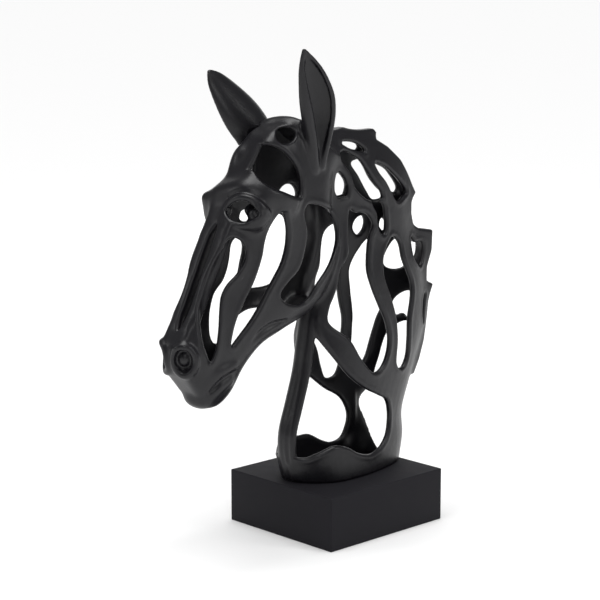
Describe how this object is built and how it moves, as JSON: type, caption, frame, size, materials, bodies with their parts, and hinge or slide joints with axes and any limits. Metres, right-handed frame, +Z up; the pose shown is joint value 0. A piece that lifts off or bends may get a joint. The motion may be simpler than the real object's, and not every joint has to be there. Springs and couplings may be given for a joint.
{
  "type": "horse head sculpture",
  "caption": "Openwork horse head and neck cast as curved straps around a hollow, with upright ears and a cut mane, standing on a rectangular block.",
  "frame": {"origin": "middle of the plinth's underside", "axes": "+Z up, the horse looks along -Y, its left side is +X"},
  "size_m": [0.15, 0.3634, 0.4946],
  "materials": {
    "casting": "satin black lacquer on a cast metal",
    "block": "matte black paint"
  },
  "bodies": {
    "root": {"horse_head": "casting", "plinth": "block"}
  },
  "joints": []
}
